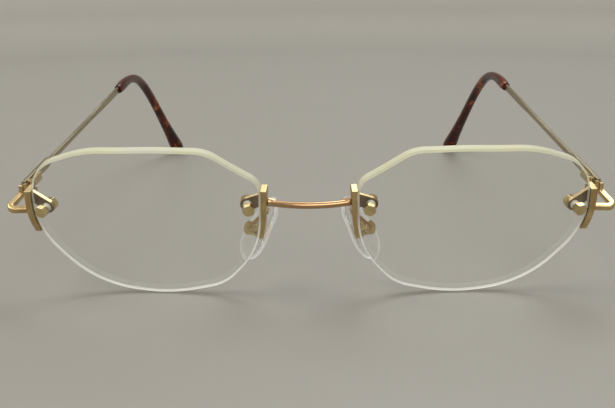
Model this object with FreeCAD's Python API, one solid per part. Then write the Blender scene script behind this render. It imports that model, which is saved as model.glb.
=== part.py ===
"""Rimless eyeglasses: two drilled lenses, a bridge, four clamp mounts, endpieces, hinges and temples.

Millimetres. X runs across the face and +X is the wearer's left. Y runs from the lenses back to the
ears. Z is up. The glasses stand open on the lens bottoms and on the two temple tips, with the origin
under the middle of their bounding box. The left side is built and the right side is its mirror image.
"""
import FreeCAD, Part
import math
import os

from FreeCAD import Placement, Rotation, Vector

os.makedirs("parts", exist_ok=True)

# ---- driving dimensions: the front ------------------------------------------------------------
ORIGIN_Y = 72.23             # from the lens vertex plane back to the middle of the bounding box
LENS_X = 35.0                # lens centre from the middle of the bridge
LENS_Z = 18.06               # lens centre above the table
FRONT_TILT = 15.3            # the top of the front leans forward
LENS_WRAP = 3.5              # each lens turns back towards its temple
LENS_R = 95.0                # radius of the front surface
LENS_T = 2.35                # lens thickness
# corners of the lens shape: outward, up, rounding radius; the first one is above the centre
LENS_CORNERS = [
    (-3.0, 18.1, 75.0), (11.5, 17.4, 26.0), (24.5, 12.3, 11.0), (26.2, -3.5, 15.0), (14.5, -17.4, 22.0),
    (-2.0, -19.7, 36.0), (-15.5, -16.9, 10.0), (-24.3, -6.6, 22.0), (-24.8, 9.7, 5.0), (-13.7, 17.6, 9.0),
]

# ---- clamp mounts and their fasteners ---------------------------------------------------------
TEMPORAL_SCREW = (22.7, 2.5)      # outward and up from the lens centre
NASAL_SCREW = (-22.0, 4.5)
TEMPORAL_SHOE = (-3.6, 6.6)       # lower and upper end of the shoe along the lens edge
NASAL_SHOE = (-3.8, 8.2)
TEMPORAL_SHOE_T = 1.45       # how far the shoe stands out from the lens edge
NASAL_SHOE_T = 1.1
TEMPORAL_SHOE_TAPER = 0.8    # degrees between its outer and inner face, so that the lower end is thinner
NASAL_SHOE_TAPER = 2.4
SHOE_FRONT = 0.15            # how far it stands proud of the front surface at the edge
SHOE_DEPTH = 3.05
SHOE_ROUND = 0.3
WINDOW = 12.0                # width of the box that cuts a shoe out of a band round the whole lens
TOUCH = 0.01                 # nearer than this counts as touching
EDGE_U = 25.0                # about where the lens edge is at the shoes, from the lens centre
TEMPORAL_EDGE = 25.9         # exactly, level with the screw
NASAL_EDGE = 24.6
STRAP_T = 0.9                # the tongue behind the lens
STRAP_W = 3.0
STRAP_ROUND = 0.2
SUNK = 0.2                   # how far a brazed or pressed piece starts inside its neighbour
STRAP_SHARE = 0.6            # of the shoe's thickness that the strap reaches into
TEMPORAL_ROOT = (-2.4, 0.2)  # lower and upper side of the strap where it meets the shoe
NASAL_ROOT = (-1.4, 1.4)
WASHER_T = 0.22
WASHER_R = 1.3
HEX_FLATS = 2.4
HEX_HEAD_T = 1.3
HEX_NUT_T = 1.1
HEX_BEVEL = 0.16             # how far the bevel reaches in from the corners
BEVEL_SLOPE = 0.55           # its rise for each millimetre inwards
SCREW_R = 0.6
SCREW_TAIL = 0.25            # what stands out of the nut
SLEEVE_R = 0.95
HOLE_GAP = 0.04              # radial clearance of the sleeve in the lens

# ---- bridge, nose pads ------------------------------------------------------------------------
BRIDGE_R = 0.72
BRIDGE_UP = 4.8              # above the lens centre, in the plane of the front
BRIDGE_BOW = 1.5             # its middle stands forward of its ends
BRIDGE_END_R = 1.05          # solder flare where it meets the shoe
FLARE_LENGTH = 1.5
PAD_CENTRE = (11.5, 10.1, 14.8)   # X, from the lens vertex plane, above the table
PAD_LENGTH = 16.0
PAD_WIDTH_TOP = 7.0
PAD_WIDTH_BOTTOM = 8.4
PAD_T = 1.9
PAD_LEAN = 28.0              # the top leans in towards the nose
PAD_SPLAY = 38.0             # the rear edge stands out from the nose
ARM_R = 0.45
PIVOT_R = 0.35
PIVOT_Y = PAD_T / 2 + 1.25   # the rocking pin's distance from the middle of the pad
PIN_LENGTH = 2.7

# ---- endpiece, hinge, temple ------------------------------------------------------------------
# middle line of the endpiece bar: inside the shoe, at the outer corner, at the stop block
BAR_ROOT = (61.0, 6.2, 20.75)
BAR_CORNER = (66.25, 4.9, 21.0)
BAR_BACK = (64.65, 10.4, 23.3)
CORNER_R = 1.0
BAR_W = 1.3
BAR_H = 1.45
PLATE_T = 1.0                # the stop block and the front of the temple
BLOCK_START = 9.2
BLOCK_END = 11.0
BLOCK_H = 2.7                # the upright block that stops the temple when it is open
BLOCK_LIFT = 0.6             # its middle stands this far above the end of the bar
HINGE = (63.1, 11.9)         # pin axis, X and Y; it stands upright
HINGE_Z = 24.4               # middle of the knuckle stack
LEAF_TAIL = 2.3              # the temple knuckles reach this far back from the pin
LEAF_LENGTH = 5.8
LEAF_T = 1.1
LEAF_H = 1.9
LEAF_DROP = 0.2              # below the middle of the temple
FOOT = 1.1                   # brazed length of each knuckle
KNUCKLE_R = 0.85
KNUCKLE_H = 0.85
KNUCKLE_GAP = 0.06
PIN_R = 0.42
PIN_GAP = 0.04
TEMPLE_START = (64.6, 11.35, 24.5)
TEMPLE_CORNER = (62.4, 110.1, 38.7)    # where the straight part and the ear hook would meet
TEMPLE_END = (56.8, 147.4, 0.58)
TEMPLE_BEND_R = 28.0
TIP_START = 76.0             # along the temple, where the plastic cover begins
CORE_R = 0.55
CORE_SHORT = 9.0             # the wire stops this far before the end of the cover
# distance along the temple, bar thickness, bar height
TEMPLE_SECTIONS = [
    (0.0, PLATE_T, 2.4), (14.5, PLATE_T, 2.4), (16.5, 0.95, 1.35), (48.0, 0.95, 1.3), (58.0, 0.8, 1.9),
    (80.0, 0.8, 1.9),
]
# share of the cover's length, thickness across, height
COVER_SECTIONS = [
    (0.0, 2.1, 2.5), (0.015, 2.4, 2.8), (0.12, 2.6, 2.9), (0.3, 2.7, 2.9), (0.5, 2.9, 2.9), (0.7, 3.3, 3.0),
    (0.8, 3.9, 3.1), (0.89, 4.8, 3.2), (0.96, 5.1, 2.9), (1.0, 3.2, 1.3),
]


# ---- frames of reference ----------------------------------------------------------------------
FRONT = Placement(Vector(0, -ORIGIN_Y, LENS_Z), Rotation(Vector(1, 0, 0), FRONT_TILT))
LENS = FRONT.multiply(Placement(Vector(LENS_X, 0, 0), Rotation(Vector(0, 0, 1), LENS_WRAP)))


def world(x, y, z):
    """A point given from the lens vertex plane, in the part's own frame."""
    return Vector(x, y - ORIGIN_Y, z)


def placed(shape, placement):
    """The shape moved from a local frame to the part's frame."""
    out = shape.copy()
    out.Placement = placement.multiply(out.Placement)
    return out


def mirrored(shape):
    """The wearer's right-hand copy of a left-hand shape."""
    return shape.mirror(Vector(0, 0, 0), Vector(1, 0, 0))


def fused(*shapes):
    """One clean solid from shapes that overlap."""
    return shapes[0].fuse(list(shapes[1:])).removeSplitter()


def rounded(shape, radius, chosen):
    """The shape with the chosen edges rounded."""
    edges = [edge for edge in shape.Edges if chosen(edge)]
    return shape.makeFillet(radius, edges)


def cylinder(radius, height, base, axis=Vector(0, 0, 1)):
    return Part.makeCylinder(radius, height, base, axis)


# ---- outlines ---------------------------------------------------------------------------------
def rounded_polygon(corners):
    """A closed wire of tangent lines and arcs in the XZ plane, from (x, z, radius) corners."""
    runs = []
    count = len(corners)
    for i, (x, z, radius) in enumerate(corners):
        here = Vector(x, 0, z)
        before = (Vector(corners[i - 1][0], 0, corners[i - 1][1]) - here).normalize()
        after_corner = corners[(i + 1) % count]
        after = (Vector(after_corner[0], 0, after_corner[1]) - here).normalize()
        half = before.getAngle(after) / 2
        reach = radius / math.tan(half)
        middle = (before + after).normalize()
        centre = here + middle * (radius / math.sin(half))
        runs.append((here + before * reach, centre - middle * radius, here + after * reach))
    edges = []
    for i, (start, middle, end) in enumerate(runs):
        edges.append(Part.Arc(start, middle, end).toShape())
        edges.append(Part.LineSegment(end, runs[(i + 1) % count][0]).toShape())
    return Part.Wire(edges)


def bent_path(points, radii):
    """A wire through points with a tangent arc at each inner point."""
    edges = []
    start = points[0]
    for i, radius in enumerate(radii, 1):
        here = points[i]
        before = (points[i - 1] - here).normalize()
        after = (points[i + 1] - here).normalize()
        half = before.getAngle(after) / 2
        reach = radius / math.tan(half)
        middle = (before + after).normalize()
        top = here + middle * (radius / math.sin(half) - radius)
        edges.append(Part.LineSegment(start, here + before * reach).toShape())
        edges.append(Part.Arc(here + before * reach, top, here + after * reach).toShape())
        start = here + after * reach
    edges.append(Part.LineSegment(start, points[-1]).toShape())
    return Part.Wire(edges)


def wire_tube(path, radius):
    """A round rod along a path."""
    first = path.OrderedEdges[0]
    base = first.valueAt(first.FirstParameter)
    along = first.tangentAt(first.FirstParameter)
    ring = Part.Wire([Part.Circle(base, along, radius).toShape()])
    return path.makePipeShell([ring], True, True)


def oval_section(place, width, height, squareness=0.62):
    """A soft rectangle, width along local X and height along local Y, as a closed wire of arcs and lines."""
    radius = min(width, height) / 2 * squareness
    a = width / 2
    b = height / 2
    s = radius * (1 - math.sqrt(0.5))
    corners = []
    for sx, sy in ((1, 1), (-1, 1), (-1, -1), (1, -1)):
        side = Vector(sx * a, sy * (b - radius), 0)
        middle = Vector(sx * (a - s), sy * (b - s), 0)
        top = Vector(sx * (a - radius), sy * b, 0)
        corners.append((side, middle, top) if sx * sy > 0 else (top, middle, side))
    edges = []
    for i, (start, middle, end) in enumerate(corners):
        edges.append(Part.Arc(start, middle, end).toShape())
        edges.append(Part.LineSegment(end, corners[(i + 1) % 4][0]).toShape())
    wire = Part.Wire(edges)
    wire.Placement = place
    return wire


# ---- lenses -----------------------------------------------------------------------------------
def sag(u, v):
    """How far the front surface falls back at (u, v)."""
    return LENS_R - math.sqrt(LENS_R ** 2 - u ** 2 - v ** 2)


def screw_frame(screw):
    """Frame on the front surface at a drilled hole: local Z runs back through the lens."""
    u, v = screw
    normal = Vector(-u, LENS_R - sag(u, v), -v).normalize()
    return Placement(Vector(u, sag(u, v), v), Rotation(Vector(0, 0, 1), normal))


def lens_blank():
    """The lens without its holes, in the lens frame."""
    prism = Part.Face(rounded_polygon(LENS_CORNERS)).extrude(Vector(0, 12, 0))
    centre = Vector(0, LENS_R, 0)
    return prism.common(Part.makeSphere(LENS_R, centre)).cut(Part.makeSphere(LENS_R - LENS_T, centre))


def lens(blank):
    out = blank
    for screw in (TEMPORAL_SCREW, NASAL_SCREW):
        hole = placed(cylinder(SLEEVE_R + HOLE_GAP, LENS_T + 4, Vector(0, 0, -2)), screw_frame(screw))
        out = out.cut(hole)
    return out


# ---- clamp mounts -----------------------------------------------------------------------------
def shoe(side, ends, thickness, taper):
    """The curved bar that hugs the lens edge; side is +1 at the temple and -1 at the nose."""
    low, high = ends
    level = (low + high) / 2
    inner = rounded_polygon(LENS_CORNERS)
    outer = inner.makeOffset2D(thickness)
    outer.rotate(Vector(side * EDGE_U, 0, level), Vector(0, 1, 0), side * taper)
    band = Part.Face(outer).cut(Part.Face(inner)).extrude(Vector(0, SHOE_DEPTH, 0))
    window = Part.makeBox(WINDOW, SHOE_DEPTH, high - low, Vector(side * EDGE_U - WINDOW / 2, 0, low))

    def outside(edge):
        middle = edge.valueAt((edge.FirstParameter + edge.LastParameter) / 2)
        return outer.distToShape(Part.Vertex(middle.x, 0, middle.z))[0] < TOUCH

    bar = rounded(band.common(window).Solids[0], SHOE_ROUND, outside)
    bar.translate(Vector(0, sag(EDGE_U, level) - SHOE_FRONT, 0))
    return bar


def strap(screw, side, end_u, root):
    """The tongue behind the lens, from the screw to the shoe, in the screw's frame.

    It ends at end_u from the lens centre, where its sides are at root. It starts a little inside the
    lens, which is cut out of it later, so that its face follows the lens.
    """
    run = side * (end_u - abs(screw[0]))
    height = STRAP_T + SUNK
    base = LENS_T - SUNK
    half = STRAP_W / 2
    end = cylinder(half, height, Vector(0, 0, base))
    low, high = root
    corners = [Vector(0, -half, base), Vector(run, low, base), Vector(run, high, base), Vector(0, half, base)]
    bar = Part.Face(Part.makePolygon(corners + corners[:1])).extrude(Vector(0, 0, height))
    return rounded(fused(end, bar), STRAP_ROUND, lambda edge: edge.BoundBox.ZMin > LENS_T + STRAP_T - TOUCH)


def mount(blank, screw, bar, tongue):
    """Shoe and strap in one piece, drilled for the screw, in the lens frame."""
    frame = screw_frame(screw)
    body = fused(bar, placed(tongue, frame))
    drill = placed(cylinder(SCREW_R + HOLE_GAP, 8, Vector(0, 0, 0)), frame)
    return body.cut(blank).cut(drill)


def temporal_mount(blank):
    bar = shoe(1, TEMPORAL_SHOE, TEMPORAL_SHOE_T, TEMPORAL_SHOE_TAPER)
    tongue = strap(TEMPORAL_SCREW, 1, TEMPORAL_EDGE + STRAP_SHARE * TEMPORAL_SHOE_T, TEMPORAL_ROOT)
    return mount(blank, TEMPORAL_SCREW, bar, tongue)


def nasal_mount(blank):
    bar = shoe(-1, NASAL_SHOE, NASAL_SHOE_T, NASAL_SHOE_TAPER)
    tongue = strap(NASAL_SCREW, -1, NASAL_EDGE + STRAP_SHARE * NASAL_SHOE_T, NASAL_ROOT)
    return mount(blank, NASAL_SCREW, bar, tongue)


# ---- mount fasteners, each in its screw's frame -----------------------------------------------
def hexagon(thickness, base, outer_face_up):
    """A hexagonal prism with its corners bevelled on the outer face."""
    corner = HEX_FLATS / math.sqrt(3)
    turns = [math.radians(60 * i) for i in range(7)]
    wire = Part.makePolygon([Vector(corner * math.cos(a), corner * math.sin(a), 0) for a in turns])
    prism = Part.Face(wire).extrude(Vector(0, 0, thickness))
    prism.translate(Vector(0, 0, base))
    narrow = corner - HEX_BEVEL
    wide = corner + 1
    rise = (wide - narrow) * BEVEL_SLOPE
    if outer_face_up:
        cone = Part.makeCone(wide, narrow, rise, Vector(0, 0, base + thickness - rise))
        body = cylinder(wide, thickness - rise, Vector(0, 0, base)).fuse(cone)
    else:
        cone = Part.makeCone(narrow, wide, rise, Vector(0, 0, base))
        body = cone.fuse(cylinder(wide, thickness - rise, Vector(0, 0, base + rise)))
    return prism.common(body)


def lens_screw():
    """Hexagon-head screw: head in front of the lens, shank through to the nut."""
    under_head = -WASHER_T
    head = hexagon(HEX_HEAD_T, under_head - HEX_HEAD_T, outer_face_up=False)
    length = WASHER_T + LENS_T + STRAP_T + HEX_NUT_T + SCREW_TAIL
    shank = cylinder(SCREW_R, length, Vector(0, 0, under_head))
    shank = shank.makeChamfer(0.12, [shank.Edges[0]])
    return fused(head, shank)


def lens_nut():
    nut = hexagon(HEX_NUT_T, LENS_T + STRAP_T, outer_face_up=True)
    return nut.cut(cylinder(SCREW_R + 0.01, 10, Vector(0, 0, 0)))


def ring(outer, inner, thickness, base):
    blank = cylinder(outer, thickness, Vector(0, 0, base))
    return blank.cut(cylinder(inner, thickness + 2, Vector(0, 0, base - 1)))


def lens_washer():
    return ring(WASHER_R, SCREW_R + 0.02, WASHER_T, -WASHER_T)


def lens_sleeve():
    return ring(SLEEVE_R, SCREW_R + 0.02, LENS_T - 0.06, 0.03)


def fastener_set(make, turn_temporal, turn_nasal):
    """The same fastener at both holes of a lens, turned as it was tightened, as separate solids."""
    out = []
    for screw, turn in ((TEMPORAL_SCREW, turn_temporal), (NASAL_SCREW, turn_nasal)):
        spin = Placement(Vector(0, 0, 0), Rotation(Vector(0, 0, 1), turn))
        out.append(placed(placed(make(), spin), LENS.multiply(screw_frame(screw))))
    return Part.makeCompound(out)


# ---- bridge and nose pads ---------------------------------------------------------------------
def nasal_face():
    """Middle of the nasal shoe's outer face, where bridge and pad arm are brazed, in the front frame."""
    u = -(NASAL_EDGE + NASAL_SHOE_T - 0.4)
    local = Placement(Vector(LENS_X, 0, 0), Rotation(Vector(0, 0, 1), LENS_WRAP))
    return local.multVec(Vector(u, sag(u, BRIDGE_UP) + 1.15, BRIDGE_UP))


def bridge(mounts):
    """Bowed round wire between the nasal shoes, with a solder flare at each end."""
    end = nasal_face()
    right = Vector(-end.x, end.y, end.z)
    middle = Vector(0, end.y - BRIDGE_BOW, end.z)
    arc = Part.Wire([Part.Arc(right, middle, end).toShape()])
    wire = wire_tube(arc, BRIDGE_R)
    foot = Vector(end.x - 0.9, end.y - 0.05, end.z)
    flare = Part.makeCone(BRIDGE_END_R, BRIDGE_R, FLARE_LENGTH, foot, Vector(-1, -0.12, 0))
    wire = fused(wire, flare, mirrored(flare))
    out = placed(wire, FRONT)
    for each in mounts:
        out = out.cut(each)
    return max(out.Solids, key=lambda solid: solid.Volume)


def pad_frame():
    """Frame of a nose pad: local X to its front edge, Y through it away from the nose, Z up its length."""
    x, y, z = PAD_CENTRE
    lean = Rotation(Vector(0, 1, 0), -PAD_LEAN)
    splay = Rotation(Vector(0, 0, 1), -90 - PAD_SPLAY)
    return Placement(world(x, y, z), lean.multiply(splay))


def pad_shape():
    """A teardrop cushion with rounded edges, crowned towards the nose, in the pad frame."""
    half = PAD_LENGTH / 2
    top = PAD_WIDTH_TOP / 2
    bottom = PAD_WIDTH_BOTTOM / 2
    points = [
        Vector(0, 0, half), Vector(top * 0.8, 0, half * 0.72), Vector(top, 0, half * 0.25),
        Vector(bottom, 0, -half * 0.35), Vector(bottom * 0.72, 0, -half * 0.82), Vector(0, 0, -half),
        Vector(-bottom * 0.72, 0, -half * 0.82), Vector(-bottom, 0, -half * 0.35),
        Vector(-top, 0, half * 0.25), Vector(-top * 0.8, 0, half * 0.72),
    ]
    curve = Part.BSplineCurve()
    curve.interpolate(points, PeriodicFlag=True)
    slab = Part.Face(Part.Wire([curve.toShape()])).extrude(Vector(0, PAD_T, 0))
    slab.translate(Vector(0, -PAD_T / 2, 0))
    return rounded(slab, PAD_T * 0.42, lambda edge: edge.BoundBox.YLength < 0.01)


def pad_lug():
    """The metal lug moulded into the pad: a plate inside it and an eye that stands out."""
    plate = Part.makeBox(1.8, 0.5, 3.2, Vector(-0.9, PAD_T / 2 - 0.85, -1.6))
    stem = Part.makeBox(0.9, PIVOT_Y - PAD_T / 2 + 0.6, 1.3, Vector(-0.45, PAD_T / 2 - 0.6, -0.65))
    eye = cylinder(0.65, 0.9, Vector(-0.45, PIVOT_Y, 0), Vector(1, 0, 0))
    hole = cylinder(PIVOT_R + 0.03, 2, Vector(-1, PIVOT_Y, 0), Vector(1, 0, 0))
    return fused(plate, stem, eye).cut(hole)


def pad_box():
    """The round cup on the pad arm that holds the lug's eye between two cheeks."""
    cup = cylinder(1.55, 1.9, Vector(0, PIVOT_Y - 0.72, 0), Vector(0, 1, 0))
    slot = Part.makeBox(1.2, 1.55, 4.0, Vector(-0.6, PIVOT_Y - 0.85, -2.0))
    pin = cylinder(PIVOT_R + 0.005, 4, Vector(-2, PIVOT_Y, 0), Vector(1, 0, 0))
    return cup.cut(slot).cut(pin)


def pad_pin():
    """The pin across the box that the pad rocks on."""
    return cylinder(PIVOT_R, PIN_LENGTH, Vector(-PIN_LENGTH / 2, PIVOT_Y, 0), Vector(1, 0, 0))


def pad_arm(nasal_mount, box):
    """The bent wire from the shoe back to the pad box."""
    cup_middle = pad_frame().multVec(Vector(0, PIVOT_Y + 1.0, 0))
    local = Placement(Vector(LENS_X, 0, 0), Rotation(Vector(0, 0, 1), LENS_WRAP))
    root = FRONT.multVec(local.multVec(Vector(-25.35, sag(25, 1) + SHOE_DEPTH - 0.6, 1.3)))
    behind = root + Vector(-0.2, 3.4, 0.1)
    tube = wire_tube(bent_path([root, behind, cup_middle], (1.6,)), ARM_R)
    inside = placed(cylinder(1.5, 1.8, Vector(0, PIVOT_Y - 0.72, 0), Vector(0, 1, 0)), pad_frame())
    pieces = tube.cut(nasal_mount).cut(box.fuse(inside)).Solids
    return max(pieces, key=lambda solid: solid.Volume)


# ---- endpiece and hinge -----------------------------------------------------------------------
def block_face():
    """X of the inner face shared by the stop block and the front of the temple."""
    return TEMPLE_START[0] - PLATE_T / 2


def endpiece(temporal_mount):
    """Square bar from the shoe round the outer corner and up to the stop block in front of the hinge."""
    root, corner, back = world(*BAR_ROOT), world(*BAR_CORNER), world(*BAR_BACK)
    path = bent_path([root, corner, back], (CORNER_R,))
    along = (corner - root).normalize()
    up = (corner - root).cross(back - corner).normalize()
    turn = Rotation(up.cross(along), up, along, "ZXY")
    bar = path.makePipeShell([oval_section(Placement(root, turn), BAR_W, BAR_H, 0.5)], True, True)
    low = BAR_BACK[2] + BLOCK_LIFT - BLOCK_H / 2
    block = Part.makeBox(PLATE_T, BLOCK_END - BLOCK_START, BLOCK_H, world(block_face(), BLOCK_START, low))
    block = rounded(block, 0.25, lambda edge: True)
    return fused(bar, block).cut(temporal_mount)


def knuckle_z(index):
    """Bottom of a knuckle: 0 lowest, 1 middle, 2 top."""
    return HINGE_Z + (index - 1.5) * (KNUCKLE_H + KNUCKLE_GAP) + KNUCKLE_GAP / 2


def knuckle(index, hole_r, reach_y, reach_x):
    """A knuckle with its rounded end at the pin and a tail to (reach_x, reach_y) from the axis."""
    hx, hy = HINGE
    z = knuckle_z(index)
    barrel = cylinder(KNUCKLE_R, KNUCKLE_H, world(hx, hy, z))
    tail_start = world(hx - KNUCKLE_R, hy + min(0, reach_y), z)
    tail = Part.makeBox(KNUCKLE_R * 2, abs(reach_y), KNUCKLE_H, tail_start)
    foot_y = reach_y - FOOT if reach_y > 0 else reach_y
    foot = Part.makeBox(reach_x + KNUCKLE_R, FOOT, KNUCKLE_H, world(hx - KNUCKLE_R, hy + foot_y, z))
    hole = cylinder(hole_r, 3, world(hx, hy, z - 1))
    return fused(barrel, tail, foot).cut(hole)


def front_hinge_leaf(end):
    """The middle knuckle, brazed to the inner face of the endpiece block."""
    hx, hy = HINGE
    reach_y = BLOCK_START + 0.3 - hy
    body = knuckle(1, PIN_R + PIN_GAP, reach_y, block_face() - hx)
    clear = cylinder(KNUCKLE_R + 0.3, 8, world(hx, hy, HINGE_Z - 4))
    pad = Part.makeBox(0.8, FOOT, 2.2, world(block_face() - 0.8, hy + reach_y, HINGE_Z - 1.1))
    return fused(body, pad.cut(clear)).cut(end)


def temple_hinge_leaf():
    """The top and bottom knuckles and the plate behind them, brazed to the temple's inner face."""
    hx, hy = HINGE
    inner_face = block_face() + SUNK - hx
    top = knuckle(2, PIN_R + PIN_GAP / 4, LEAF_TAIL, inner_face)
    bottom = knuckle(0, PIN_R, LEAF_TAIL, inner_face)
    low = -LEAF_H / 2 - LEAF_DROP
    plate = Part.makeBox(LEAF_T + SUNK, LEAF_H, LEAF_LENGTH, Vector(PLATE_T / 2 - SUNK, low, 0))
    front = hy + LEAF_TAIL - FOOT - TEMPLE_START[1]
    web = placed(rounded(plate, 0.15, lambda edge: edge.BoundBox.XMin > PLATE_T / 2), temple_frame(front))
    return fused(top, bottom, web)


def hinge_screw():
    """Slotted screw down through the three knuckles."""
    hx, hy = HINGE
    top = knuckle_z(2) + KNUCKLE_H
    shank = cylinder(PIN_R, top - knuckle_z(0) + 0.15, world(hx, hy, knuckle_z(0) - 0.15))
    head = cylinder(0.8, 0.32, world(hx, hy, top))
    head = rounded(head, 0.1, lambda edge: edge.BoundBox.ZMin > top + 0.31)
    slot = Part.makeBox(0.22, 3, 0.3, world(hx - 0.11, hy - 1.5, top + 0.17))
    return fused(head, shank).cut(slot)


# ---- temple -----------------------------------------------------------------------------------
def temple_points():
    return [world(*TEMPLE_START), world(*TEMPLE_CORNER), world(*TEMPLE_END)]


def temple_frame(distance):
    """Frame on the straight part: local X to its inner face, Y up its side, Z along it."""
    start, corner, end = temple_points()
    along = (corner - start).normalize()
    inward = Vector(0, 0, 1).cross(along).normalize()
    turn = Rotation(inward, along.cross(inward), along, "ZXY")
    return Placement(start + along * distance, turn)


def temple(leaf):
    """Flat bar from the hinge to inside the cover, then the round core wire round the ear bend."""
    sections = [oval_section(temple_frame(s), w, h, 0.5) for s, w, h in TEMPLE_SECTIONS]
    bar = Part.makeLoft(sections, True, True)
    start, corner, end = temple_points()
    inside = temple_frame(TEMPLE_SECTIONS[-1][0] - 1.0).Base
    stop = end + (corner - end).normalize() * CORE_SHORT
    core = wire_tube(bent_path([inside, corner, stop], (TEMPLE_BEND_R,)), CORE_R)
    return fused(bar, core).cut(leaf)


def cover_path():
    start, corner, end = temple_points()
    return bent_path([temple_frame(TIP_START).Base, corner, end], (TEMPLE_BEND_R,))


def path_frame(path, share):
    """Frame at a share of a path's length, with local Y in the path's upright plane."""
    target = path.Length * share
    for edge in path.OrderedEdges:
        if target <= edge.Length + 1e-6:
            break
        target -= edge.Length
    parameter = edge.getParameterByLength(min(target, edge.Length))
    along = edge.tangentAt(parameter)
    start, corner, end = temple_points()
    across = (corner - start).cross(end - corner).normalize() * -1
    up = across.cross(along)
    return Placement(edge.valueAt(parameter), Rotation(across, up, along, "ZXY"))


def temple_tip(bar):
    """Plastic cover that follows the ear bend and flares to a blunt, rounded end."""
    path = cover_path()
    sections = [oval_section(path_frame(path, share), w, h, 0.9) for share, w, h in COVER_SECTIONS]
    return Part.makeLoft(sections, True, False).cut(bar)


# ---- assembly ---------------------------------------------------------------------------------
def left_nodes():
    """Every node of the wearer's left side, and of the middle."""
    blank = lens_blank()
    nasal = placed(nasal_mount(blank), LENS)
    temporal = placed(temporal_mount(blank), LENS)
    box = placed(pad_box(), pad_frame())
    lug = pad_lug()
    end = endpiece(temporal)
    leaf = temple_hinge_leaf()
    bar = temple(leaf)
    return {
        "lens": placed(lens(blank), LENS),
        "nasal_mount": nasal,
        "temporal_mount": temporal,
        "lens_screws": fastener_set(lens_screw, 10, 0),
        "lens_nuts": fastener_set(lens_nut, 25, 12),
        "lens_washers": fastener_set(lens_washer, 0, 0),
        "lens_sleeves": fastener_set(lens_sleeve, 0, 0),
        "endpiece": end,
        "front_hinge_leaf": front_hinge_leaf(end),
        "temple_hinge_leaf": leaf,
        "hinge_screw": hinge_screw(),
        "temple": bar,
        "temple_tip": temple_tip(bar),
        "pad_arm": pad_arm(nasal, box),
        "pad_box": box,
        "pad_pin": placed(pad_pin(), pad_frame()),
        "pad_lug": placed(lug, pad_frame()),
        "nose_pad": placed(pad_shape().cut(lug), pad_frame()),
    }


def main():
    left = left_nodes()
    nasal = left["nasal_mount"]
    nodes = {"bridge": bridge([nasal, mirrored(nasal)])}
    for name, shape in left.items():
        nodes[name + "_left"] = shape
        nodes[name + "_right"] = mirrored(shape)
    for name, shape in nodes.items():
        shape.exportStep("parts/" + name + ".step")
        box = shape.BoundBox
        print("%-24s solids %d valid %s volume %8.2f  y %.2f %.2f  z %.2f %.2f" % (
            name, len(shape.Solids), shape.isValid(), shape.Volume, box.YMin, box.YMax, box.ZMin, box.ZMax))


main()
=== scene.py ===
"""Visual model of the rimless eyeglasses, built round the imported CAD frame. Metres, row frame."""

import math

import bmesh
import bpy
from mathutils import Matrix, Vector


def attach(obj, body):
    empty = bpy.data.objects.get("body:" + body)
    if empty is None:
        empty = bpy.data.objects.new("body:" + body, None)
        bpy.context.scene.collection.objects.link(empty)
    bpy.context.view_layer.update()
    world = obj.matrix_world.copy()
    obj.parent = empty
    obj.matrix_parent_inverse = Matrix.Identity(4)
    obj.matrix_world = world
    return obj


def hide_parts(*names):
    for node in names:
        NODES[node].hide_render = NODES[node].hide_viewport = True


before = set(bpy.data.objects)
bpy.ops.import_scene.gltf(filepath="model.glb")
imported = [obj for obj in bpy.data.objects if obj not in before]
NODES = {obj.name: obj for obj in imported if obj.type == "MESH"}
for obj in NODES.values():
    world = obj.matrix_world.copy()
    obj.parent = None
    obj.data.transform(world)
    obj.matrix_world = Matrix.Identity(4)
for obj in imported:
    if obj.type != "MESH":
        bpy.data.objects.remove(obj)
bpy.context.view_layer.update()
SIDES = (("left", 1), ("right", -1))
MM = 0.001

# ---- sizes as in the CAD source, in millimetres and degrees -------------------------------------
ORIGIN_Y = 72.23             # how far the row's origin lies behind the front of the lenses
LENS_X = 35.0
LENS_Z = 18.06
FRONT_TILT = 15.3
LENS_WRAP = 3.5
LENS_R = 95.0                # radius of the front surface
LENS_T = 2.35
LENS_CORNERS = [             # across, up, radius
    (-3.0, 18.1, 75.0), (11.5, 17.4, 26.0), (24.5, 12.3, 11.0), (26.2, -3.5, 15.0),
    (14.5, -17.4, 22.0), (-2.0, -19.7, 36.0), (-15.5, -16.9, 10.0), (-24.3, -6.6, 22.0),
    (-24.8, 9.7, 5.0), (-13.7, 17.6, 9.0),
]
LENS_SCREWS = ((22.7, 2.5), (-22.0, 4.5))
HOLE_R = 0.99
PAD_CENTRE = (11.5, 10.1, 14.8)
PAD_LENGTH = 16.0
PAD_WIDTH_TOP = 7.0
PAD_WIDTH_BOTTOM = 8.4
PAD_T = 1.9
PAD_LEAN = 28.0
PAD_SPLAY = 38.0

# ---- sizes of the rebuilt lenses and pads, in millimetres and degrees ---------------------------
SEAT_GAP = 0.04              # keeps the lens just clear of the shoes and straps
LENS_BEVEL = 0.4
LENS_STEP = 0.7              # usual step along the lens outline
LENS_TURN = 3.0              # usual step round one of its corners, where that is finer
# how far out each ring of a lens face lies, and where rows cross its ground edge, front to rear
LENS_RINGS = (0.12, 0.24, 0.36, 0.47, 0.57, 0.66, 0.74, 0.81, 0.87, 0.92, 0.96, 0.985, 1.0)
LENS_EDGE_ROWS = (0.33, 0.66)
DRILL_LENGTH = 8.0
DRILL_FORWARD = 1.0          # the drill's middle, in front of the lens
PAD_STEPS = 7                # points from one corner of the pad outline to the next
PAD_RIM = 0.8                # how far in the round rim reaches
PAD_RIM_DEPTH = 0.78         # half the rim's depth, in half thicknesses of the pad
PAD_SQUARE = 1.2             # a ring with a smaller inset keeps its distance from the outline;
PAD_MIDDLE = PAD_WIDTH_TOP / 2 + 0.6    # the others shrink towards the middle, this far in,
PAD_LEAST = 0.08             # to no less than this share of the outline
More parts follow.
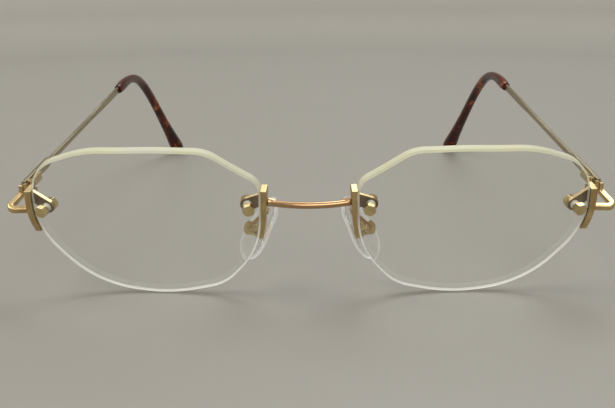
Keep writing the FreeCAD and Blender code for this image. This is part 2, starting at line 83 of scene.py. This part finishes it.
# (inset, depth in half thicknesses of the pad), from the middle out and from the rim in
PAD_NOSE_SIDE = ((3.6, -1.0), (3.0, -0.99), (2.3, -0.96), (1.6, -0.90), (1.1, -0.84))
PAD_LUG_SIDE = ((1.05, 0.78), (1.35, 0.70), (1.6, 0.62), (2.3, 0.58), (3.6, 0.58))


# ---- shader helpers -----------------------------------------------------------------------------
class Shader:
    """One node material, built from calls that return sockets."""

    def __init__(self, name):
        self.material = bpy.data.materials.new(name)
        self.material.use_nodes = True
        self.tree = self.material.node_tree
        self.tree.nodes.clear()
        self.output = self.tree.nodes.new("ShaderNodeOutputMaterial")

    def add(self, kind, settings=None, **inputs):
        """A new node. Inputs are named with _ for a space; a value may be a socket."""
        made = self.tree.nodes.new("ShaderNode" + kind)
        for key, value in (settings or {}).items():
            setattr(made, key, value)
        for key, value in inputs.items():
            self.set(made, key.replace("_", " "), value)
        return made

    def set(self, made, key, value):
        """Gives one input, by its name or number, a value or a link from a socket."""
        if isinstance(value, bpy.types.NodeSocket):
            self.tree.links.new(value, made.inputs[key])
        else:
            made.inputs[key].default_value = value

    def math(self, operation, a, b, clamp=False):
        made = self.add("Math", {"operation": operation, "use_clamp": clamp})
        self.set(made, 0, a)
        self.set(made, 1, b)
        return made.outputs[0]

    def vector_math(self, operation, *vectors):
        """A number worked out from one or two vectors."""
        made = self.add("VectorMath", {"operation": operation})
        for index, vector in enumerate(vectors):
            self.set(made, index, vector)
        return made.outputs["Value"]

    def coords(self, scale):
        """Object coordinates times a scale, so that 1000 gives one unit per millimetre."""
        where = self.add("TexCoord").outputs["Object"]
        return self.add("Mapping", Vector=where, Scale=scale).outputs[0]

    def noise(self, vector, scale, detail=3.0, roughness=0.5, distortion=0.0):
        return self.add("TexNoise", Vector=vector, Scale=scale, Detail=detail, Roughness=roughness,
                        Distortion=distortion).outputs["Fac"]

    def ramp(self, value, *stops):
        """Colours or greys at positions along a 0 to 1 value."""
        made = self.add("ValToRGB", Fac=value)
        elements = made.color_ramp.elements
        while len(elements) < len(stops):
            elements.new(0.5)
        for element, (place, colour) in zip(elements, stops):
            element.position = place
            element.color = (*(grey(colour) if isinstance(colour, float) else colour), 1)
        return made.outputs["Color"]

    def mix(self, share, a, b):
        """Colour a, going over into colour b."""
        made = self.add("Mix", {"data_type": "RGBA"})
        for index, value in ((0, share), (6, a), (7, b)):
            self.set(made, index, (*value, 1) if isinstance(value, tuple) else value)
        return made.outputs[2]

    def blend(self, share, first, second):
        """The first shader, going over into the second."""
        made = self.add("MixShader")
        for index, value in enumerate((share, first, second)):
            self.set(made, index, value)
        return made.outputs[0]

    def bump(self, height, strength, distance, normal=None):
        made = self.add("Bump", Height=height, Strength=strength, Distance=distance)
        if normal is not None:
            self.set(made, "Normal", normal)
        return made.outputs[0]

    def finish(self, shader):
        self.tree.links.new(shader, self.output.inputs["Surface"])
        return self.material


def grey(value):
    return (value, value, value)


def lamp_clear(shade, shader, tint):
    """Lets the light of lamps and floor straight through a clear shader, in the given tint."""
    path = shade.add("LightPath")
    clear = shade.add("BsdfTransparent", Color=(*tint, 1)).outputs[0]
    for ray in ("Is Diffuse Ray", "Is Shadow Ray"):
        shader = shade.blend(path.outputs[ray], shader, clear)
    return shader


# ---- materials ----------------------------------------------------------------------------------
EVEN = (1000, 1000, 1000)    # scale of a pattern that is the same in all directions


def gold(name, light, dark, low, high, along=(1, 1, 1)):
    """Plated gold: cloudy tone, fine draw lines, worn edges, painted shade and grime in corners."""
    line_tone, worn_tone, hollow_shade_tone = (0.48, 0.34, 0.16), (0.93, 0.86, 0.72), (0.11, 0.07, 0.035)
    shade = Shader(name)
    drawn = shade.coords(tuple(1000 * a for a in along))
    cloud = shade.noise(drawn, 0.32)
    lines = shade.noise(drawn, 6.0, 4.0, 0.6)
    specks = shade.noise(shade.coords(EVEN), 5.5, 2.0)
    patches = shade.ramp(cloud, (0.30, 0.0), (0.70, 1.0))
    round_normal = shade.add("Bevel", {"samples": 6}, Radius=0.12 * MM).outputs[0]
    flat_normal = shade.add("NewGeometry").outputs["Normal"]
    facing = shade.vector_math("DOT_PRODUCT", round_normal, flat_normal)
    edge = shade.ramp(facing, (0.86, 1.0), (0.985, 0.0))
    edge = shade.math("MULTIPLY", edge, shade.ramp(specks, (0.35, 0.2), (0.6, 1.0)))
    # Painted shade: ambient occlusion darkens the colour in corners and hollows, where shade falls,
    # and roughens them like grime.
    hollow = shade.add("AmbientOcclusion", {"samples": 6}, Distance=0.8 * MM).outputs["AO"]
    grime_and_shade = shade.math("MULTIPLY", shade.ramp(hollow, (0.30, 1.0), (0.80, 0.0)), 0.7)
    tone = shade.mix(patches, dark, light)
    tone = shade.mix(shade.math("MULTIPLY", lines, 0.12), tone, line_tone)
    tone = shade.mix(shade.math("MULTIPLY", edge, 0.45), tone, worn_tone)
    tone = shade.mix(grime_and_shade, tone, hollow_shade_tone)
    rough = shade.mix(patches, grey(low), grey(high))
    rough = shade.mix(grime_and_shade, rough, grey(0.6))
    rough = shade.mix(shade.ramp(specks, (0.62, 0.0), (0.72, 0.35)), rough, grey(0.5))
    normal = shade.bump(lines, 0.08, 0.006 * MM, round_normal)
    normal = shade.bump(specks, 0.05, 0.006 * MM, normal)
    metal = shade.add("BsdfPrincipled", Base_Color=tone, Metallic=1.0, Roughness=rough,
                      Normal=normal)
    return shade.finish(metal.outputs[0])


def tortoiseshell():
    """Dark brown plastic with amber clouds and a glossy, lightly scuffed skin."""
    black, brown, red = (0.014, 0.002, 0.001), (0.050, 0.004, 0.002), (0.120, 0.010, 0.003)
    amber, streak_tone = (0.380, 0.120, 0.012), (0.018, 0.002, 0.001)
    scuff_tone = (0.18, 0.035, 0.010)
    shade = Shader("tortoiseshell_plastic")
    clouds = shade.noise(shade.coords((1000, 420, 420)), 0.26, 4.0, 0.58, 0.8)
    streaks = shade.noise(shade.coords((900, 300, 500)), 0.8, 3.0, 0.6, 0.4)
    fine = shade.noise(shade.coords(EVEN), 2.2, 4.0)
    body = shade.ramp(clouds, (0.36, black), (0.48, brown), (0.57, red), (0.68, amber))
    body = shade.mix(shade.ramp(streaks, (0.38, 0.8), (0.56, 0.0)), body, streak_tone)
    body = shade.mix(shade.ramp(fine, (0.50, 0.0), (0.80, 0.15)), body, scuff_tone)
    rough = shade.ramp(fine, (0.3, 0.10), (0.75, 0.24))
    plastic = shade.add("BsdfPrincipled", Base_Color=body, Roughness=rough, IOR=1.45,
                        Specular_IOR_Level=0.3, Coat_Weight=0.12, Coat_Roughness=0.05,
                        Normal=shade.bump(fine, 0.18, 0.02 * MM))
    return shade.finish(plastic.outputs[0])


def lens_face():
    """Clear lens surface with the faint haze and dust of a lens in use."""
    shade = Shader("lens_clear_face")
    where = shade.coords(EVEN)
    haze = shade.noise(where, 0.11, 4.0, 0.55, 0.6)
    dust = shade.noise(where, 3.4, 1.0)
    rough = shade.ramp(haze, (0.45, 0.0), (0.85, 0.035))
    rough = shade.mix(shade.ramp(dust, (0.78, 0.0), (0.82, 0.5)), rough, grey(0.35))
    tint = shade.mix(haze, (0.990, 0.990, 0.980), (0.978, 0.982, 0.966))
    glass = shade.add("BsdfPrincipled", Base_Color=tint, Roughness=rough, IOR=1.5,
                      Transmission_Weight=1.0)
    return shade.finish(lamp_clear(shade, glass.outputs[0], (0.98, 0.98, 0.975)))


def lens_edge():
    """Ground edge of the lens: matt and creamy, painted white low down where the lens gathers
    light.
    """
    painted_glow_white, cream, deep_cream = (1.0, 0.998, 0.95), (0.80, 0.785, 0.63), (0.79, 0.785, 0.54)
    grain_tone, line_tone = (0.99, 0.99, 0.95), (0.86, 0.85, 0.70)
    lens_height = 38.0
    shade = Shader("lens_ground_edge")
    where = shade.coords(EVEN)
    cloud = shade.noise(where, 0.09)
    grain = shade.noise(where, 9.0, 3.0, 0.6)
    lines = shade.noise(shade.coords((300, 4200, 300)), 1.3)
    height = shade.add("SeparateXYZ", Vector=where).outputs["Z"]
    # Painted light: the edge is painted white towards the bottom, standing in for the light the
    # lens gathers there.
    painted_glow_fade = shade.ramp(shade.math("MULTIPLY", height, 1 / lens_height), (0.42, 0.0), (0.85, 1.0))
    tone = shade.mix(shade.ramp(cloud, (0.35, 0.0), (0.65, 1.0)), cream, deep_cream)
    tone = shade.mix(painted_glow_fade, painted_glow_white, tone)
    tone = shade.mix(shade.math("MULTIPLY", grain, 0.14), tone, grain_tone)
    tone = shade.mix(shade.ramp(lines, (0.55, 0.0), (0.75, 0.15)), tone, line_tone)
    normal = shade.bump(shade.math("ADD", grain, lines), 0.4, 0.02 * MM)
    matt = shade.add("BsdfPrincipled", Base_Color=tone, Roughness=0.45, Normal=normal)
    through = shade.add("BsdfTranslucent", Color=tone, Normal=normal)
    return shade.finish(shade.blend(0.5, matt.outputs[0], through.outputs[0]))


def clear_plastic(name, tint, low, high, milk, rim_milk=0.0):
    """Soft clear plastic, a little milky, with haze and scuffs. The mesh's rim value adds milk."""
    shade = Shader(name)
    where = shade.coords(EVEN)
    haze = shade.noise(where, 0.45, 4.0, 0.6)
    scuff = shade.noise(where, 4.5)
    rough = shade.mix(haze, grey(low), grey(high))
    rough = shade.mix(shade.ramp(scuff, (0.62, 0.0), (0.72, 0.5)), rough, grey(0.4))
    tone = shade.mix(haze, tint, tuple(c * 0.97 for c in tint))
    normal = shade.bump(scuff, 0.1, 0.01 * MM)
    plastic = shade.add("BsdfPrincipled", Base_Color=tone, Roughness=rough, IOR=1.46,
                        Transmission_Weight=1.0, Normal=normal)
    bright = shade.add("BsdfDiffuse", Color=(1, 1, 1, 1), Normal=normal)
    glow = shade.add("BsdfTranslucent", Color=(1, 1, 1, 1), Normal=normal)
    veil = shade.blend(0.6, bright.outputs[0], glow.outputs[0])
    if rim_milk:
        rim = shade.add("Attribute", {"attribute_name": "rim"}).outputs["Fac"]
        milk = shade.math("ADD", shade.math("MULTIPLY", rim, rim_milk), milk, True)
    both = shade.blend(milk, plastic.outputs[0], veil)
    return shade.finish(lamp_clear(shade, both, (0.86, 0.86, 0.86)))


# ---- objects ------------------------------------------------------------------------------------
def as_object(name, mesh, materials, place=None, flip=False):
    """A linked object from a bmesh, moved by place and mirrored if flip is set."""
    if place is not None:
        bmesh.ops.transform(mesh, matrix=place, verts=mesh.verts)
    if flip:
        bmesh.ops.scale(mesh, vec=(-1, 1, 1), verts=mesh.verts)
        bmesh.ops.reverse_faces(mesh, faces=mesh.faces)
    data = bpy.data.meshes.new(name)
    mesh.to_mesh(data)
    mesh.free()
    for material in materials:
        data.materials.append(material)
    made = bpy.data.objects.new(name, data)
    bpy.context.scene.collection.objects.link(made)
    return made


def smooth(obj, degrees):
    """Smooth shading, broken at edges sharper than the angle."""
    for face in obj.data.polygons:
        face.use_smooth = True
    obj.data.set_sharp_from_angle(angle=math.radians(degrees))


def skin(mesh, loops, first, last):
    """Quads between rings of points and a fan at each end. Returns the quads as (row, face)."""
    count = len(loops[0])
    quads = []
    for i in range(count):
        j = (i + 1) % count
        mesh.faces.new((first, loops[0][j], loops[0][i]))
        mesh.faces.new((last, loops[-1][i], loops[-1][j]))
        for row, (inner, outer) in enumerate(zip(loops, loops[1:])):
            quads.append((row, mesh.faces.new((inner[i], inner[j], outer[j], outer[i]))))
    bmesh.ops.recalc_face_normals(mesh, faces=mesh.faces)
    return quads


# ---- lenses -------------------------------------------------------------------------------------
LENS_PLACE = (Matrix.Translation((0, -ORIGIN_Y * MM, LENS_Z * MM))
              @ Matrix.Rotation(math.radians(FRONT_TILT), 4, "X")
              @ Matrix.Translation((LENS_X * MM, 0, 0))
              @ Matrix.Rotation(math.radians(LENS_WRAP), 4, "Z"))


def lens_outline():
    """Points round the lens shape with their outward normals: (u, v, nu, nv)."""
    arcs = []
    count = len(LENS_CORNERS)
    for i, (u, v, radius) in enumerate(LENS_CORNERS):
        here = Vector((u, v))
        before = (Vector(LENS_CORNERS[i - 1][:2]) - here).normalized()
        after = (Vector(LENS_CORNERS[(i + 1) % count][:2]) - here).normalized()
        half = before.angle(after) / 2
        reach = radius / math.tan(half)
        centre = here + (before + after).normalized() * (radius / math.sin(half))
        arcs.append((here + before * reach, here + after * reach, centre, radius))
    points = []
    for i, (start, end, centre, radius) in enumerate(arcs):
        first, last = (start - centre) / radius, (end - centre) / radius
        turn = first.angle(last)
        steps = max(2, round(turn * radius / LENS_STEP), round(turn / math.radians(LENS_TURN)))
        for k in range(steps + 1):
            share = k / steps
            normal = first * math.sin((1 - share) * turn) + last * math.sin(share * turn)
            normal /= math.sin(turn)
            points.append((*(centre + normal * (radius - SEAT_GAP)), *normal))
        run = arcs[(i + 1) % count][0] - end
        pieces = round(run.length / LENS_STEP)
        for k in range(1, pieces):
            points.append((*(end + run * (k / pieces) - last * SEAT_GAP), *last))
    return points


def front_depth(u, v):
    return LENS_R - math.sqrt(LENS_R ** 2 - u ** 2 - v ** 2)


def rear_depth(u, v):
    return LENS_R - math.sqrt((LENS_R - LENS_T + SEAT_GAP) ** 2 - u ** 2 - v ** 2)


def lens_mesh():
    """One lens as a closed shell: curved faces in rings, a ground edge with small bevels."""
    outline = lens_outline()

    def face_ring(share, depth):
        ring = []
        for u, v, nu, nv in outline:
            across, up = (u - nu * LENS_BEVEL) * share, (v - nv * LENS_BEVEL) * share
            ring.append((across, depth(across, up), up))
        return ring

    rings = [face_ring(share, front_depth) for share in LENS_RINGS]
    rings.append([(u, front_depth(u, v) + LENS_BEVEL, v) for u, v, nu, nv in outline])
    for part in LENS_EDGE_ROWS:
        rings.append([(u, front_depth(u, v) * (1 - part) + rear_depth(u, v) * part, v)
                      for u, v, nu, nv in outline])
    rings.append([(u, rear_depth(u, v) - LENS_BEVEL, v) for u, v, nu, nv in outline])
    rings += [face_ring(share, rear_depth) for share in reversed(LENS_RINGS)]
    mesh = bmesh.new()
    loops = [[mesh.verts.new(Vector(p) * MM) for p in ring] for ring in rings]
    front = mesh.verts.new(Vector((0, front_depth(0, 0), 0)) * MM)
    rear = mesh.verts.new(Vector((0, rear_depth(0, 0), 0)) * MM)
    first_edge_row = len(LENS_RINGS) - 1
    last_edge_row = len(rings) - len(LENS_RINGS) - 1
    for row, face in skin(mesh, loops, front, rear):
        face.material_index = int(first_edge_row <= row <= last_edge_row)
    return mesh


def drill():
    """Cutters for the two holes, each a cylinder square to the front surface."""
    mesh = bmesh.new()
    for u, v in LENS_SCREWS:
        depth = front_depth(u, v)
        normal = Vector((-u, LENS_R - depth, -v)).normalized()
        turn = Vector((0, 0, 1)).rotation_difference(normal).to_matrix().to_4x4()
        place = (Matrix.Translation(Vector((u, depth, v)) * MM) @ turn
                 @ Matrix.Translation((0, 0, DRILL_FORWARD * MM)))
        bmesh.ops.create_cone(mesh, cap_ends=True, segments=48, radius1=HOLE_R * MM,
                              radius2=HOLE_R * MM, depth=DRILL_LENGTH * MM, matrix=place)
    for face in mesh.faces:
        face.material_index = 1
    return mesh


def make_lens(side, sign, materials):
    """The drilled lens of one side, in place of its CAD node."""
    name = "drilled_lens_" + side
    blank = as_object("lens_blank_" + side, lens_mesh(), materials, LENS_PLACE, sign < 0)
    cutter = as_object("lens_drill_" + side, drill(), materials, LENS_PLACE, sign < 0)
    cut = blank.modifiers.new("holes", "BOOLEAN")
    cut.operation = "DIFFERENCE"
    cut.solver = "EXACT"
    cut.object = cutter
    bpy.context.view_layer.update()
    evaluated = blank.evaluated_get(bpy.context.evaluated_depsgraph_get())
    done = bpy.data.meshes.new_from_object(evaluated)
    done.name = name
    made = bpy.data.objects.new(name, done)
    bpy.context.scene.collection.objects.link(made)
    for spare in (blank, cutter):
        bpy.data.objects.remove(spare)
    smooth(made, 30)
    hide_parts("lens_" + side)
    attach(made, "front")


# ---- nose pads ----------------------------------------------------------------------------------
PAD_PLACE = (Matrix.Translation((Vector(PAD_CENTRE) - Vector((0, ORIGIN_Y, 0))) * MM)
             @ Matrix.Rotation(math.radians(-PAD_LEAN), 4, "Y")
             @ Matrix.Rotation(math.radians(-90 - PAD_SPLAY), 4, "Z"))


def pad_outline():
    """The teardrop of the pad: a closed smooth curve through ten points, as (across, up)."""
    half, top, bottom = PAD_LENGTH / 2, PAD_WIDTH_TOP / 2, PAD_WIDTH_BOTTOM / 2
    right = [(top * 0.8, half * 0.72), (top, half * 0.25), (bottom, -half * 0.35),
             (bottom * 0.72, -half * 0.82)]
    points = [(0, half)] + right + [(0, -half)] + [(-x, z) for x, z in reversed(right)]
    points = [Vector(p) for p in points]
    count = len(points)
    out = []
    for i in range(count):
        a, b, c, d = (points[(i + k) % count] for k in (-1, 0, 1, 2))
        for k in range(PAD_STEPS):
            t = k / PAD_STEPS
            out.append(0.5 * (2 * b + (c - a) * t + (2 * a - 5 * b + 4 * c - d) * t ** 2
                              + (3 * b - a - 3 * c + d) * t ** 3))
    return out


def pad_profile():
    """From the nose side over the rim to the lug side: (inset, depth, milkiness)."""
    half = PAD_T / 2
    profile = [(inset, half * depth, 0.0) for inset, depth in PAD_NOSE_SIDE]
    for degrees in range(-75, 76, 15):
        angle = math.radians(degrees)
        profile.append((PAD_RIM * (1 - math.cos(angle)), half * PAD_RIM_DEPTH * math.sin(angle),
                        math.cos(angle) ** 2))
    return profile + [(inset, half * depth, 0.0) for inset, depth in PAD_LUG_SIDE]


def pad_ring(outline, inset):
    """The pad's outline, drawn in by the inset."""
    shrink = max(1 - inset / PAD_MIDDLE, PAD_LEAST)
    ring = []
    for i, point in enumerate(outline):
        along = (outline[(i + 1) % len(outline)] - outline[i - 1]).normalized()
        inward = Vector((-along.y, along.x))
        if inward.dot(point) > 0:
            inward = -inward
        ring.append(point + inward * inset if inset < PAD_SQUARE else point * shrink)
    return ring


def pad_mesh():
    """A pad: crowned towards the nose, with a round rim and a shallow dish round the lug behind."""
    outline = pad_outline()
    mesh = bmesh.new()
    milkiness = mesh.verts.layers.float.new("rim")
    loops = []
    for inset, depth, milky in pad_profile():
        loop = [mesh.verts.new(Vector((p.x, depth, p.y)) * MM) for p in pad_ring(outline, inset)]
        for vertex in loop:
            vertex[milkiness] = milky
        loops.append(loop)
    half = PAD_T / 2
    nose = mesh.verts.new(Vector((0, half * PAD_NOSE_SIDE[0][1], 0)) * MM)
    back = mesh.verts.new(Vector((0, half * PAD_LUG_SIDE[-1][1], 0)) * MM)
    skin(mesh, loops, nose, back)
    return mesh


def make_pad(side, sign, materials):
    """The soft pad of one side, in place of its CAD node."""
    made = as_object("nose_cushion_" + side, pad_mesh(), materials, PAD_PLACE, sign < 0)
    smooth(made, 60)
    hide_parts("nose_pad_" + side)
    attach(made, "nose_pad_" + side + "_rocker")


# ---- build --------------------------------------------------------------------------------------
GOLD = gold("gold_plate", (0.68, 0.52, 0.26), (0.48, 0.33, 0.15), 0.18, 0.28)
GOLD_WIRE = gold("gold_wire", (0.66, 0.48, 0.27), (0.44, 0.24, 0.11), 0.16, 0.24, (0.12, 1, 1))
GOLD_TEMPLE = gold("gold_temple", (0.46, 0.40, 0.28), (0.33, 0.28, 0.18), 0.22, 0.32, (1, 0.1, 1))
GOLD_BRIGHT = gold("gold_screw", (0.74, 0.61, 0.33), (0.56, 0.43, 0.20), 0.16, 0.26)
TORTOISESHELL = tortoiseshell()
PAD = clear_plastic("pad_plastic", (0.97, 0.98, 0.98), 0.04, 0.12, 0.10, 0.78)
SLEEVE = clear_plastic("sleeve_plastic", (0.95, 0.94, 0.88), 0.15, 0.30, 0.15)
LENS_FACE = lens_face()
LENS_EDGE = lens_edge()

FINISH = {
    "bridge": GOLD_WIRE, "pad_arm": GOLD_WIRE, "temple": GOLD_TEMPLE, "temple_tip": TORTOISESHELL,
    "lens_sleeves": SLEEVE, "lens_screws": GOLD_BRIGHT, "lens_nuts": GOLD_BRIGHT,
    "lens_washers": GOLD_BRIGHT, "hinge_screw": GOLD_BRIGHT, "pad_pin": GOLD_BRIGHT,
    "pad_lug": GOLD_BRIGHT, "pad_box": GOLD_BRIGHT,
}
for name, obj in NODES.items():
    material = FINISH.get(name.replace("_left", "").replace("_right", ""), GOLD)
    for entry in obj.material_slots:
        entry.material = material
for side, sign in SIDES:
    make_lens(side, sign, [LENS_FACE, LENS_EDGE])
    make_pad(side, sign, [PAD])

# ---- stage, in metres ---------------------------------------------------------------------------
FLOOR_RINGS = (0.5, 1.0, 1.6)
FLOOR_CURVE = 0.6            # radius of the turn from the floor into the wall
FLOOR_REACH = FLOOR_RINGS[-1] + FLOOR_CURVE
WALL_TOP = 2.2
FLOOR_SIDES = 96
LIGHTS = (                   # name, place, aim, size, watts, colour
    ("key", (-0.75, -0.10, 1.15), (0, 0, 0.01), (0.9, 0.7), 8.0, (1.0, 0.96, 0.90)),
    ("top", (0.30, 0.50, 1.15), (0, 0.02, 0.01), (0.7, 0.6), 6.0, (0.94, 0.97, 1.0)),
    ("back", (0.0, 1.00, 1.15), (0, 0, 0.02), (1.4, 0.4), 3.0, (0.93, 0.96, 1.0)),
    ("front", (0.25, -1.05, 0.75), (0, 0, 0.02), (1.0, 0.5), 5.5, (1.0, 0.98, 0.95)),
)
SKY_COLOUR = (0.82, 0.84, 0.88, 1)
SKY_STRENGTH = 0.9


def floor_paint():
    """Plain pale matt floor, slightly uneven; painted light makes it paler far out, where less
    falls.
    """
    shade = Shader("floor_pale")
    where = shade.coords((1, 1, 1))
    distance = shade.vector_math("LENGTH", where)
    painted_light_far = shade.ramp(shade.math("MULTIPLY", distance, 1 / FLOOR_REACH), (0.25, 0.0), (0.9, 1.0))
    grain = shade.noise(where, 900.0, 2.0)
    tone = shade.mix(shade.noise(where, 3.0), (0.240, 0.226, 0.195), (0.264, 0.250, 0.217))
    tone = shade.mix(shade.math("MULTIPLY", grain, 0.08), tone, (0.21, 0.20, 0.175))
    # Painted light: floor and wall are painted paler far out, to make up for the lamp light that
    # falls less there.
    tone = shade.mix(painted_light_far, tone, (0.60, 0.57, 0.50))
    paint = shade.add("BsdfPrincipled", Base_Color=tone, Roughness=0.55,
                      Normal=shade.bump(grain, 0.15, 0.1 * MM))
    return shade.finish(paint.outputs[0])


def make_floor():
    """A flat disc that turns up into a low wall far from the object, all the way round."""
    profile = [(radius, 0.0) for radius in FLOOR_RINGS]
    for degrees in range(8, 89, 8):
        angle = math.radians(degrees)
        profile.append((FLOOR_RINGS[-1] + FLOOR_CURVE * math.sin(angle),
                        FLOOR_CURVE - FLOOR_CURVE * math.cos(angle)))
    profile.append((FLOOR_REACH, WALL_TOP))
    mesh = bmesh.new()
    centre = mesh.verts.new((0, 0, 0))
    bearings = [2 * math.pi * i / FLOOR_SIDES for i in range(FLOOR_SIDES)]
    rings = []
    for radius, height in profile:
        rings.append([mesh.verts.new((radius * math.cos(bearing), radius * math.sin(bearing),
                                      height)) for bearing in bearings])
    for i in range(FLOOR_SIDES):
        j = (i + 1) % FLOOR_SIDES
        mesh.faces.new((centre, rings[0][i], rings[0][j]))
        for inner, outer in zip(rings, rings[1:]):
            mesh.faces.new((inner[i], outer[i], outer[j], inner[j]))
    floor = as_object("floor", mesh, [floor_paint()])
    smooth(floor, 60)


def area_light(name, place, aim, size, power, colour):
    data = bpy.data.lights.new(name, "AREA")
    data.shape = "RECTANGLE"
    data.size, data.size_y = size
    data.energy = power
    data.color = colour
    made = bpy.data.objects.new(name, data)
    made.location = place
    made.rotation_euler = (Vector(aim) - Vector(place)).to_track_quat("-Z", "Y").to_euler()
    bpy.context.scene.collection.objects.link(made)


make_floor()
for light in LIGHTS:
    area_light(*light)
world = bpy.data.worlds.new("studio")
world.use_nodes = True
world.node_tree.nodes["Background"].inputs["Color"].default_value = SKY_COLOUR
world.node_tree.nodes["Background"].inputs["Strength"].default_value = SKY_STRENGTH
bpy.context.scene.world = world

# ---- camera, at the photograph's angle ----------------------------------------------------------
CAMERA_AT = (1.7, -138.0, 67.7)    # millimetres from the middle, the front of the lenses, the table
PITCH, YAW, ROLL = math.radians(17.73), math.radians(-0.84), math.radians(0.54)
FOCAL_LENGTH = 40.39
SENSOR_WIDTH = 36.0

ahead = Vector((math.sin(YAW) * math.cos(PITCH), math.cos(YAW) * math.cos(PITCH), -math.sin(PITCH)))
level = Vector((math.cos(YAW), -math.sin(YAW), 0))
below = ahead.cross(level)
across = math.cos(ROLL) * level + math.sin(ROLL) * below
down = math.cos(ROLL) * below - math.sin(ROLL) * level
camera_data = bpy.data.cameras.new("camera")
camera_data.sensor_width = SENSOR_WIDTH
camera_data.lens = FOCAL_LENGTH
camera_data.clip_start = 0.01
camera_data.clip_end = 20.0
camera = bpy.data.objects.new("camera", camera_data)
turn = Matrix((across, -down, -ahead)).transposed().to_4x4()
camera_place = (Vector(CAMERA_AT) - Vector((0, ORIGIN_Y, 0))) * MM
camera.matrix_world = Matrix.Translation(camera_place) @ turn
bpy.context.scene.collection.objects.link(camera)
bpy.context.scene.camera = camera
bpy.context.scene.view_settings.view_transform = "Standard"
